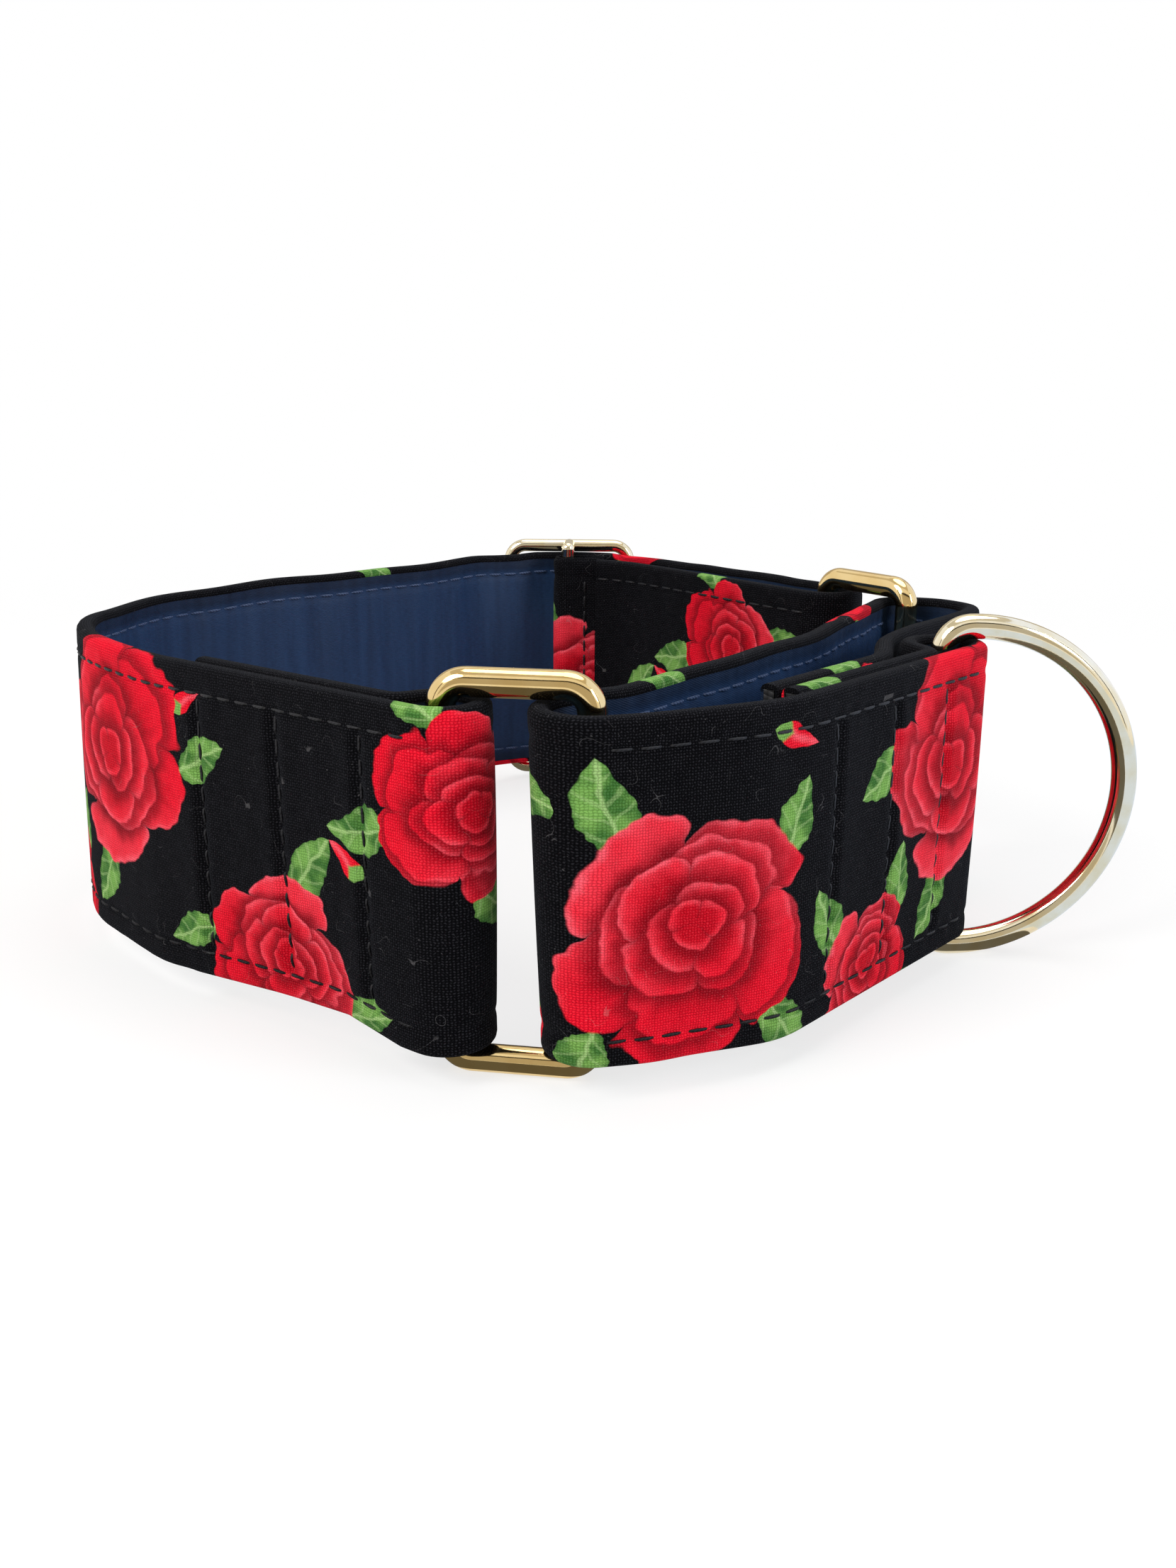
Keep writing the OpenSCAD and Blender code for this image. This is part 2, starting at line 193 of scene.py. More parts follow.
main_path = [
    *sewn_fold(FRONT_BAR, FRONT_ANGLE, FRONT_FOLD),
    *side_path,
    *end_path,
    *apex_path,
    *rear_fold,
]

# Return: from the rear ring back to the slider's centre bar
slider_stack = HALF_T + SLIDER_CLEAR + TAIL_T + 2 * TAIL_GAP + SLIDER_BAR_D + HALF_T
slider_at = FRONT_ANGLE - SIDE_BOW_ANGLE - END_BEND_ANGLE - APEX_BEND_ANGLE / 2
return_r = APEX_R - slider_stack
bar_r = return_r + HALF_T + TAIL_GAP + SLIDER_BAR_D / 2
arm_turn = math.degrees(TAIL_LAP / return_r)
return_start = rear_fold[-1]
return_bend_start = (*(apex_centre + return_r * left_of(run_angle)), run_angle + 180)
return_run = curve(return_start, return_bend_start, RUN_LEN / 3, RUN_LEN / 3)
return_path = [*return_run, *bend(return_bend_start, return_r, APEX_BEND_ANGLE / 2 - arm_turn)]

# Control loop: sewn fold at the leash ring, front, inner and rear stretches
loop_start = shifted((*LEASH_BAR, LOOP_ANGLE), FOLD_R)
loop_sewn_end = along(loop_start, LOOP_FOLD)
loop_at_front = shifted((*front_right_bar, LOOP_FRONT_ANGLE), FOLD_R)
inner_start = shifted((*front_right_bar, INNER_START_ANGLE), FOLD_R)
inner_end = shifted((*rear_right_bar, INNER_END_ANGLE), FOLD_R)
rear_start = shifted((*rear_right_bar, REAR_START_ANGLE), FOLD_R)
lap_line = shifted(loop_start, -2 * LAYER_PITCH)
rear_lap = along(lap_line, REAR_LAP_START)
rear_lap_end = along(lap_line, LOOP_FOLD)
rear_pass = shifted((*LEASH_BAR, LOOP_ANGLE + REAR_PASS_ANGLE), -FOLD_R - LAYER_PITCH)
front_reach = apart(loop_at_front, loop_sewn_end)
inner_reach = apart(inner_end, inner_start)
pass_reach = apart(rear_pass, rear_lap)
control_path = [
    *sewn_fold(LEASH_BAR, LOOP_ANGLE, LOOP_FOLD),
    *curve(loop_sewn_end, loop_at_front, front_reach / 3, front_reach / 3),
    *fold(front_right_bar, LOOP_FRONT_ANGLE, INNER_START_ANGLE),
    *curve(inner_start, inner_end, inner_reach / 3, inner_reach / 3),
    *fold(rear_right_bar, INNER_END_ANGLE, REAR_START_ANGLE),
    *curve(rear_start, rear_pass, REAR_BULGE, REAR_RUN),
    *curve(rear_pass, rear_lap, pass_reach / 3, pass_reach / 3),
    rear_lap_end,
]

# End of the band sewn round the slider's centre bar
loop_mid_r = SLIDER_BAR_D / 2 + TAIL_GAP + TAIL_T / 2
near_arm = bend((0, bar_r - loop_mid_r, 0), bar_r - loop_mid_r, -arm_turn)
far_arm = bend((0, bar_r + loop_mid_r, 0), bar_r + loop_mid_r, -arm_turn)
loop_about_bend = [
    *[(x, y, a + 180) for x, y, a in reversed(near_arm)],
    *bend((0, bar_r - loop_mid_r, 180), loop_mid_r, -180),
    *far_arm,
]
slider_loop_path = [
    (*(apex_centre + x * unit(slider_at) + y * left_of(slider_at)), a + slider_at)
    for x, y, a in loop_about_bend
]

# Thread: length of a stitch, distance from one to the next, and thickness as it lies on the cloth
STITCH_LEN = 3.2
STITCH_PITCH = 3.8
STITCH_R = 0.24
SEAM_STITCH_LEN = 3.0
SEAM_STITCH_PITCH = 3.5
SEAM_REACH = STITCH_INSET + 2 * THREAD_D
ROW_Z = (LOW_Z + STITCH_INSET, TOP_Z - STITCH_INSET)
STITCH_LIFT = 0.15
STITCH_DIVE = 0.42
STITCH_TAPER = 0.35
SLIDER_SEAM_AT = 0.13

# Cloth as it is shown: rounded edges, how far layers lie apart, and how finely it is followed
EDGE_R = 1.1
HEM_T = 0.4
EDGE_WALL = 0.75
LINING_TUCK = 0.4
LINING_SINK = 0.12
CORE_INSET = 0.85
CORE_TOP = HALF_T - COVER_T - 0.1
CLOTH_STEP = 0.7
SLIDER_END_STEP = 0.4
FACE_COLUMNS = 84
LINING_COLUMNS = 56
CORE_COLUMNS = 14

# Millimetres that a wrong direction counts for when a strap looks up one of its points
TURN_WEIGHT = 9

# Unevenness of the cloth: heights and widths in millimetres, and shares of the waves and drifts
WAVES = ((0.10, 19), (0.09, 13), (0.06, 8.5), (0.045, 6.0))
DRIFTS = ((0.22, 61), (0.13, 27))
COVER_WAVE = 0.55
LINING_WAVE = 0.75
DRIFT_LEAN = 1.2
DRIFT_LIFT = 0.8
HOLD_EASE = 9
CROWN = 0.16
CROWN_HALF_W = 20.5
ROW_SINK = 0.20
ROW_SINK_W = 0.75
PUCKER = 0.055
PUCKER_W = 2.6
SEAM_BULGE = 0.40
SEAM_BULGE_W = 4.0
SEAM_SINK = 0.95
SEAM_SINK_W = 0.95
SEAM_DRAG = 0.10
SEAM_DRAG_W = 2.2

# Millimetres in one unit of uv, and what is added for stitches on the lining side, where the thread is navy
UV_MM = 100.0
LINING_SIDE_UV = 2.0
# Where the print starts on the control loop and on the end sewn round the slider's bar
CONTROL_UV = 61.0
SLIDER_END_UV = 20.0


def eased(value, low, high):
    t = np.clip((value - low) / (high - low), 0, 1)
    return t * t * (3 - 2 * t)


def hump(value, width):
    return np.exp(-((value / width) ** 2))


class Strap:
    """A strap's middle line, measured along its length, with the slight unevenness of sewn cloth."""

    def __init__(self, path, seed, thickness=STRAP_T):
        points = np.array(path, float)
        steps = np.hypot(*np.diff(points[:, :2], axis=0).T)
        points = points[np.r_[True, steps > 1e-6]]
        self.s = np.r_[0, np.cumsum(steps[steps > 1e-6])]
        self.x, self.y = points[:, 0], points[:, 1]
        self.turn = np.radians(np.unwrap(points[:, 2], period=360))
        self.length = self.s[-1]
        self.half = thickness / 2
        # Places of cross seams, and stretches that something holds
        self.seams = []
        self.held = []
        # Place along, then how far the lower and the upper edge lean to the left or rise there
        self.lean = [(0.0, 0.0, 0.0)]
        self.rise = [(0.0, 0.0, 0.0)]
        draw = np.random.default_rng(seed)
        self.waves = [
            (
                amount,
                2 * math.pi / span * draw.uniform(0.8, 1.2),
                draw.uniform(-0.12, 0.12),
                draw.uniform(0, 7),
            )
            for amount, span in WAVES
        ]
        self.drift = [(amount, 2 * math.pi / span, draw.uniform(0, 7)) for amount, span in DRIFTS]
        self.phase = draw.uniform(0, 7)

    def where(self, p):
        """Length at which the strap passes a point in its own direction."""
        off = np.hypot(self.x - p[0], self.y - p[1])
        return self.s[np.argmin(off + TURN_WEIGHT * np.abs(np.sin((self.turn - math.radians(p[2])) / 2)))]

    def loose(self, s):
        """1 where the strap is free, 0 where a bar, a sewn lap or the slider holds it."""
        made = np.ones_like(s)
        for low, high in self.held:
            made = made * (1 - eased(s, low - HOLD_EASE, low) * eased(-s, -high - HOLD_EASE, -high))
        return made

    def swell(self, s, z, side):
        """Height of a face over its flat place: padding between the rows, sunk rows, puckers and seams."""
        across = z - MID_Z
        rows = sum(hump(z - row, ROW_SINK_W) for row in ROW_Z)
        near_rows = sum(hump(z - row, PUCKER_W) for row in ROW_Z)
        inside = eased(STRAP_W / 2 - np.abs(across), 0.6, 4.5)
        crown = CROWN * np.clip(1 - (across / CROWN_HALF_W) ** 2, 0, 1)
        beat = 2 * math.pi * s / STITCH_PITCH + self.phase + 0.8 * np.sin(s / 11)
        pucker = PUCKER * near_rows * np.sin(beat)
        wave = sum(a * np.sin(k * s + q * across + p) for a, k, q, p in self.waves)
        height = inside * (crown + wave * (COVER_WAVE if side > 0 else LINING_WAVE)) + pucker - ROW_SINK * rows
        if side > 0:
            within = eased(STRAP_W / 2 - SEAM_REACH - np.abs(across), -0.8, 0.6)
            for seam in self.seams:
                off = s - seam
                drag = SEAM_DRAG * np.sin(2 * math.pi * z / SEAM_STITCH_PITCH) * hump(off, SEAM_DRAG_W)
                bulge = SEAM_BULGE * hump(off, SEAM_BULGE_W)
                height = height + within * (bulge + drag - SEAM_SINK * hump(off, SEAM_SINK_W))
        return height

    def at(self, s, off, z, side=0.0):
        """Points in metres, off to the left of the middle line, on a face's side where side is 1 or -1."""
        s, off, z, side = np.broadcast_arrays(*(np.asarray(v, float) for v in (s, off, z, side)))
        on_face = np.where(side > 0, self.swell(s, z, 1), np.where(side < 0, self.swell(s, z, -1), 0))
        across = (z - MID_Z) / (STRAP_W / 2)
        drift = sum(a * np.sin(k * s + p) for a, k, p in self.drift) * self.loose(s)
        places, low, top = zip(*self.lean)
        low, top = np.interp(s, places, low), np.interp(s, places, top)
        off = off + side * on_face + DRIFT_LEAN * drift * across + (top + low) / 2 + (top - low) / 2 * across
        places, low, top = zip(*self.rise)
        lift = np.where(across < 0, np.interp(s, places, low), np.interp(s, places, top))
        z = z + (DRIFT_LIFT * drift + lift) * np.abs(across)
        s = np.clip(s, 0, self.length)
        x, y, turn = (np.interp(s, self.s, v) for v in (self.x, self.y, self.turn))
        return np.stack([x - off * np.sin(turn), y + off * np.cos(turn), z], axis=-1) * MM


def mesh_piece(name, points, faces, uv, material):
    """Object from points, faces and one uv pair for each corner of each face."""
    mesh = bpy.data.meshes.new(name)
    mesh.from_pydata(points.reshape(-1, 3).tolist(), [], faces)
    layer = mesh.uv_layers.new(name="strap")
    layer.data.foreach_set("uv", np.asarray(uv, np.float32).ravel())
    mesh.polygons.foreach_set("use_smooth", np.ones(len(mesh.polygons), bool))
    mesh.set_sharp_from_angle(angle=math.radians(55))
    mesh.materials.append(material)
    mesh.update()
    piece = bpy.data.objects.new(name, mesh)
    bpy.context.scene.collection.objects.link(piece)
    return piece


def swept(name, strap, section, material, uv_start=0.0, step=CLOTH_STEP):
    """Closed strip along a strap. The section is a loop of (off, z, side, distance round the section)."""
    count = max(2, round(strap.length / step))
    s = np.linspace(0, strap.length, count + 1)
    off, z, side, girth = (np.array(v) for v in zip(*section))
    points = strap.at(s[:, None], off[None], z[None], side[None])
    n = len(section)
    faces, uv = [], []
    for i in range(count):
        for j in range(n):
            k = (j + 1) % n
            faces.append((i * n + j, i * n + k, (i + 1) * n + k, (i + 1) * n + j))
            v0, v1 = girth[j], girth[j + 1] if j + 1 < n else girth[j]
            u0, u1 = s[i] + uv_start, s[i + 1] + uv_start
            uv += [(u0, v0), (u0, v1), (u1, v1), (u1, v0)]
    faces.append(tuple(reversed(range(n))))
    faces.append(tuple(count * n + j for j in range(n)))
    uv += [(uv_start + off[j], girth[j]) for j in reversed(range(n))]
    uv += [(uv_start + strap.length + off[j], girth[j]) for j in range(n)]
    return mesh_piece(name, points, faces, np.array(uv) / UV_MM, material)


def rounded(corner_off, corner_z, toward_off, toward_z, radius, start, steps=5):
    """Quarter round of a section, from the given angle, about a centre inside the corner."""
    centre_off, centre_z = corner_off + toward_off * radius, corner_z + toward_z * radius
    angles = np.radians(start + np.linspace(0, 90, steps))
    return [(centre_off + radius * math.cos(a), centre_z + radius * math.sin(a)) for a in angles]


def measured(loop):
    """Distance of a section's points round it, from the middle of its outer face."""
    girth = np.r_[0, np.cumsum([math.dist(p, q) for p, q in zip(loop, loop[1:])])]
    face = [(z, g) for (off, z), g in zip(loop, girth) if off > 0 and LOW_Z + 2 < z < TOP_Z - 2]
    return girth - np.interp(MID_Z, *zip(*face))


def cover_section(half=HALF_T):
    """C-shaped section of the printed cover: outer face, rounded edges and hems turned to the lining side."""
    hem = np.linspace(HEM_SHOW, EDGE_R, 4)
    face = np.linspace(LOW_Z + EDGE_R, TOP_Z - EDGE_R, FACE_COLUMNS)[1:-1]
    outer = [(-half, LOW_Z + h) for h in hem[:-1]]
    outer += rounded(-half, LOW_Z, 1, 1, EDGE_R, 180)
    outer += rounded(half, LOW_Z, -1, 1, EDGE_R, 270)
    outer += [(half, z) for z in face]
    outer += rounded(half, TOP_Z, -1, -1, EDGE_R, 0)
    outer += rounded(-half, TOP_Z, 1, -1, EDGE_R, 90)
    outer += [(-half, TOP_Z - h) for h in hem[::-1][1:]]
    girth = measured(outer)
    sides = [1.0 if p[0] > half - EDGE_R / 2 else 0.0 for p in outer]
    loop = [(*p, side, g) for p, side, g in zip(outer, sides, girth)]
    lip, wall = -half + HEM_T, half - COVER_T
    inner = [(lip, TOP_Z - HEM_SHOW), (lip, TOP_Z - EDGE_WALL), (wall, TOP_Z - EDGE_WALL)]
    inner += [(off, 2 * MID_Z - z) for off, z in reversed(inner)]
    return loop + [(*p, 0.0, girth[-1]) for p in inner]


def flat_section(low_off, high_off, low_z, high_z, face_off, columns):
    """Flat strip's section; its points at face_off follow that side's face."""
    z = np.linspace(low_z, high_z, columns)
    side = math.copysign(1.0, face_off)
    loop = [(high_off, v, side if high_off == face_off else 0.0, v - MID_Z) for v in z]
    loop += [(low_off, v, side if low_off == face_off else 0.0, v - MID_Z) for v in z[::-1]]
    return loop


def thread_piece(name, runs, material):
    """Single stitches. A run is (strap, face, places along, heights, a stitch's reach along and up)."""
    stations, around = np.linspace(-1, 1, 9), np.radians(np.arange(0, 360, 60))
    lift = (STITCH_LIFT - STITCH_DIVE * stations**4)[:, None]
    ring = STITCH_R * (1 - STITCH_TAPER * stations**2)[:, None]
    points, faces, uv = [], [], []
    m, n = len(stations), len(around)
    for strap, side, s, z, (reach_s, reach_z) in runs:
        s, z = np.broadcast_arrays(np.atleast_1d(np.asarray(s, float)), np.atleast_1d(np.asarray(z, float)))
        # Faces turn outward: one order for rows on the cover, the other for seams or the lining side
        order = 1 if side * (1 if reach_s else -1) > 0 else -1
        uv_start = LINING_SIDE_UV if side < 0 else 0.0
        sideways = ring * np.sin(around)
        off = side * (strap.half + lift + ring * np.cos(around))
        for k in range(len(s)):
            along_s = s[k] + (stations * reach_s / 2)[:, None] + (sideways if reach_z else 0 * ring)
            up = z[k] + (stations * reach_z / 2)[:, None] + (sideways if reach_s else 0 * ring)
            start = len(points) * m * n
            points.append(strap.at(along_s, off, up, side))
            for i in range(m - 1):
                for j in range(n):
                    corners = [(i, j), (i, j + 1), (i + 1, j + 1), (i + 1, j)][::order]
                    faces.append(tuple(start + a * n + b % n for a, b in corners))
                    uv += [(a / (m - 1) + uv_start, b / n) for a, b in corners]
            for ends in (range(n), [(m - 1) * n + j for j in reversed(range(n))]):
                faces.append(tuple(start + e for e in ends)[::-order])
                uv += [(0.5 + uv_start, 0.5)] * n
    return mesh_piece(name, np.array(points), faces, uv, material)


def row_run(strap, side, start, end, z):
    """Stitches of one length of topstitching."""
    count = max(1, int((end - start) / STITCH_PITCH))
    s = start + (np.arange(count) + 0.5) * (end - start) / count
    return (strap, side, s, z, (STITCH_LEN, 0.0))


def seam_run(strap, side, s):
    """Stitches of one cross seam."""
    low, high = LOW_Z + SEAM_REACH, TOP_Z - SEAM_REACH
    count = round((high - low) / SEAM_STITCH_PITCH)
    z = low + (np.arange(count) + 0.5) * (high - low) / count
    return (strap, side, s, z, (0.0, SEAM_STITCH_LEN))


def paint(red, green, blue):
    """Colour written as 0 to 255, in the linear values that shaders use."""
    shares = [v / 255 for v in (red, green, blue)]
    return (*[v / 12.92 if v <= 0.04045 else ((v + 0.055) / 1.055) ** 2.4 for v in shares], 1.0)


class Flow:
    """Output socket in a node tree. Arithmetic on it adds Math nodes."""

    def __init__(self, tree, socket):
        self.tree = tree
        self.socket = socket

    def node(self, kind, settings=None, values=None, out=0):
        """Adds a node: its type, its settings, then the values or links of its sockets."""
        made = self.tree.nodes.new(kind)
        for name, value in (settings or {}).items():
            setattr(made, name, value)
        for key, value in (values or {}).items():
            if isinstance(value, Flow):
                self.tree.links.new(value.socket, made.inputs[key])
            else:
                made.inputs[key].default_value = value
        return Flow(self.tree, made.outputs[out])

    def math(self, operation, *others):
        return self.node("ShaderNodeMath", {"operation": operation}, dict(enumerate((self, *others))))

    def __add__(self, other):
        return self.math("ADD", other)

    def __sub__(self, other):
        return self.math("SUBTRACT", other)

    def __rsub__(self, other):
        return self.node("ShaderNodeMath", {"operation": "SUBTRACT"}, {0: other, 1: self})

    def __mul__(self, other):
        return self.math("MULTIPLY", other)

    def __truediv__(self, other):
        return self.math("DIVIDE", other)

    def __pow__(self, other):
        return self.math("POWER", other)

    def __abs__(self):
        return self.math("ABSOLUTE")

    __radd__ = __add__
    __rmul__ = __mul__

    def step(self, low, high):
        """0 below low and 1 above high, eased between; low may be the larger."""
        settings = {"interpolation_type": "SMOOTHSTEP"}
        if low < high:
            return self.node("ShaderNodeMapRange", settings, {0: self, 1: low, 2: high})
        return self.node("ShaderNodeMapRange", settings, {0: self, 1: high, 2: low, 3: 1.0, 4: 0.0})

    def mix(self, a, b):
        """Colour a where this is 0, b where it is 1."""
        return self.node("ShaderNodeMix", {"data_type": "RGBA"}, {0: self, 6: a, 7: b}, 2)

    def pick(self, a, b):
        """Vector a where this is 0, b where it is 1."""
        return self.node("ShaderNodeMix", {"data_type": "VECTOR"}, {0: self, 4: a, 5: b}, 1)

    def parts(self):
        split = self.node("ShaderNodeSeparateXYZ", {}, {0: self})
        return split, Flow(self.tree, split.socket.node.outputs[1])

    def length(self):
        return self.node("ShaderNodeVectorMath", {"operation": "LENGTH"}, {0: self}, "Value")

    def scaled(self, x, y, z=1.0):
        return self.node("ShaderNodeVectorMath", {"operation": "MULTIPLY"}, {0: self, 1: (x, y, z)})

    def grain(self, x, y, detail=2.0, z=1.0):
        """Noise from 0 to 1 over this place, at the given spots per millimetre each way."""
        return self.node(
            "ShaderNodeTexNoise", {}, {"Vector": self.scaled(x, y, z), "Scale": 1.0, "Detail": detail}
        )

    def dull(self, colour, share):
        """Colour with this much of its light, from share at 0 to all of it at 1."""
        dark = self.node(
            "ShaderNodeMix",
            {"data_type": "RGBA", "blend_type": "MULTIPLY"},
            {0: 1.0, 6: colour, 7: (share, share, share, 1.0)},
            2,
        )
        return self.mix(dark, colour)

    def into(self, node, socket):
        self.tree.links.new(self.socket, node.inputs[socket])


def new_finish(name, fixed, place):
    """Material with the given constant sockets, its shader, and its place in millimetres."""
    material = bpy.data.materials.new(name)
    material.use_nodes = True
    tree = material.node_tree
    shader = tree.nodes["Principled BSDF"]
    for socket, value in fixed.items():
        shader.inputs[socket].default_value = value
    kind, settings, out, scale = place
    source = tree.nodes.new(kind)
    for key, value in settings.items():
        setattr(source, key, value)
    return material, shader, Flow(tree, source.outputs[out]).scaled(scale, scale, scale)


ON_STRAP = ("ShaderNodeUVMap", {"uv_map": "strap"}, "UV", UV_MM)
ON_METAL = ("ShaderNodeTexCoord", {}, "Object", 1 / MM)


def embossed(height, shader, strength, depth):
    """Relief of the given depth in millimetres."""
    bump = height.node(
        "ShaderNodeBump", {}, {"Strength": strength, "Distance": depth * MM, "Height": height}, "Normal"
    )
    bump.into(shader, "Normal")


# Print of the cover: rows of petals as (radius, petals, turn, middle), then the cloth's colours
BLOOM_ROWS = (
    (1.00, 5, 0.3, (0.0, 0.0)),
    (0.80, 4, 1.9, (-0.10, 0.06)),
    (0.60, 4, 0.9, (0.04, 0.12)),
    (0.40, 3, 2.6, (-0.04, 0.10)),
    (0.22, 3, 1.2, (0.02, 0.14)),
)
PETAL = paint(236, 14, 42)
PETAL_LIGHT = paint(255, 92, 108)
PETAL_DEEP = paint(190, 4, 28)
PETAL_SHADOW = paint(104, 1, 15)
LEAF = paint(122, 172, 84)
LEAF_DARK = paint(58, 108, 46)
LEAF_VEIN = paint(178, 212, 140)
GROUND = paint(6, 6, 9)
# Painted highlight on the raised yarn of the weave
YARN_HIGHLIGHT = paint(150, 150, 160)
LINT = paint(150, 148, 150)
PRINT_REPEAT = 172.0
PRINT_WANDER = 1.2
WEAVE_PITCH = 0.40
# Blooms in one repeat: place along and across the strap, radius and turn
BLOOMS = ((22, -7, 19, 25), (61, 12, 13, 140), (96, -19, 15, 80), (133, 9, 20, 250), (158, -21, 12, 10))
# Leaves of each bloom: direction from its middle, half length and slant
BLOOM_LEAVES = ((35, 7.2, 20), (112, 6.4, -25), (200, 7.0, 15), (285, 6.0, -20))
BUDS = ((80, 1, 4.2, 35), (113, 19, 3.8, 150), (44, -20, 4.0, 260), (6, 20, 4.4, 200))


def repeated(motifs):
    """The motifs, with those near an end of the repeat also at its other end."""
    made = list(motifs)
    for x, y, size, turn in motifs:
        if x < 2.2 * size:
            made.append((x + PRINT_REPEAT, y, size, turn))
        if x > PRINT_REPEAT - 2.2 * size:
            made.append((x - PRINT_REPEAT, y, size, turn))
    return made


def nearest(place, motifs):
    """Place as seen from the nearest motif, in that motif's own size and turn."""
    seen = near = None
    for x, y, size, turn in repeated(motifs):
        values = {
            "Vector": place,
            "Location": (x, y, 0),
            "Rotation": (0, 0, math.radians(turn)),
            "Scale": (size, size, 1),
        }
        here = place.node("ShaderNodeMapping", {"vector_type": "TEXTURE"}, values)
        far = here.length()
        if seen is None:
            seen, near = here, far
        else:
            seen = far.math("LESS_THAN", near).pick(seen, here)
            near = far.math("MINIMUM", near)
    return seen


def bloom(seen):
    """Colour of a layered bloom and where it covers the ground."""
    x, y = seen.parts()
    uneven = seen.grain(1.7, 1.7) - 0.5
    round_x, round_y = seen.node("ShaderNodeVectorMath", {"operation": "NORMALIZE"}, {0: seen}).parts()
    fan = seen.node("ShaderNodeCombineXYZ", {}, {0: round_x, 1: round_y, 2: seen.length()})
    streak = fan.grain(6.5, 6.5, 3.0, 2.4) - 0.5
    lit = (0.35 * x + 0.5 * y + 1.6 * uneven).step(-0.35, 0.6)
    colour = covered = None
    for radius, petals, start, middle in BLOOM_ROWS:
        here = seen.node("ShaderNodeVectorMath", {"operation": "SUBTRACT"}, {0: seen, 1: (*middle, 0.0)})
        across, up = here.parts()
        reach = here.length() * (1 + 0.45 * uneven)
        lobe = abs(((up.math("ARCTAN2", across) + 1.1 * uneven) * (petals / 2) + start).math("SINE"))
        depth = radius * (0.76 + 0.24 * lobe**0.5) - reach
        sunk = (depth / (0.42 * radius) + streak).step(0.05, 1.0)
        rim = depth.step(0.075, 0.01)
        petal = (0.85 * sunk).mix(PETAL, PETAL_DEEP)
        petal = (((1 - sunk) * 0.3 + rim * 0.6) * lit * (1 + 2.4 * streak)).mix(petal, PETAL_LIGHT)
        petal = ((1 - lobe) ** 5 * depth.step(0.26, 0.02) * 0.55).mix(petal, PETAL_SHADOW)
        inside = depth.step(-0.006, 0.02)
        if colour is None:
            colour, covered = petal, inside
        else:
            colour = inside.mix((depth.step(-0.17, 0.0) * 0.6).mix(colour, PETAL_SHADOW), petal)
    return colour, covered


def leaf(seen):
    """Colour of a pointed, toothed leaf and where it covers the ground."""
    x, y = seen.parts()
    side = abs(y + 0.06 * (x * 2.6).math("SINE"))
    tooth = 0.014 * ((x + 0.6 * side) * 24.0).math("SINE")
    half = 0.5 * (1 - x * x) * (1 - 0.32 * x) + tooth
    inside = (half - side).step(0.0, 0.03) * abs(x).step(1.0, 0.97)
    tone = seen.grain(1.6, 1.6).step(0.35, 0.65).mix(LEAF_DARK, LEAF)
    vein = ((x - 0.8 * side) * 15.0).math("SINE").step(0.6, 1.0) * 0.5
    rib = side.step(0.06, 0.015)
    tone = (vein.math("MAXIMUM", rib) * 0.6).mix(tone, LEAF_VEIN)
    return ((half - side).step(0.14, 0.0) * 0.45).mix(tone, LEAF_DARK), inside


def bud(seen):
    """Colour of a small closed bud with its green cup and where it covers the ground."""
    x, y = seen.parts()
    half = 0.42 * (1 - x * x) * (1 - 0.45 * x)
    inside = (half - abs(y)).step(0.0, 0.05) * abs(x).step(1.0, 0.95)
    tone = (abs(y) + 0.2 * seen.grain(3.0, 3.0)).step(0.05, 0.35).mix(PETAL_LIGHT, PETAL)
    return (x + 0.9 * abs(y)).step(-0.05, -0.2).mix(tone, LEAF), inside


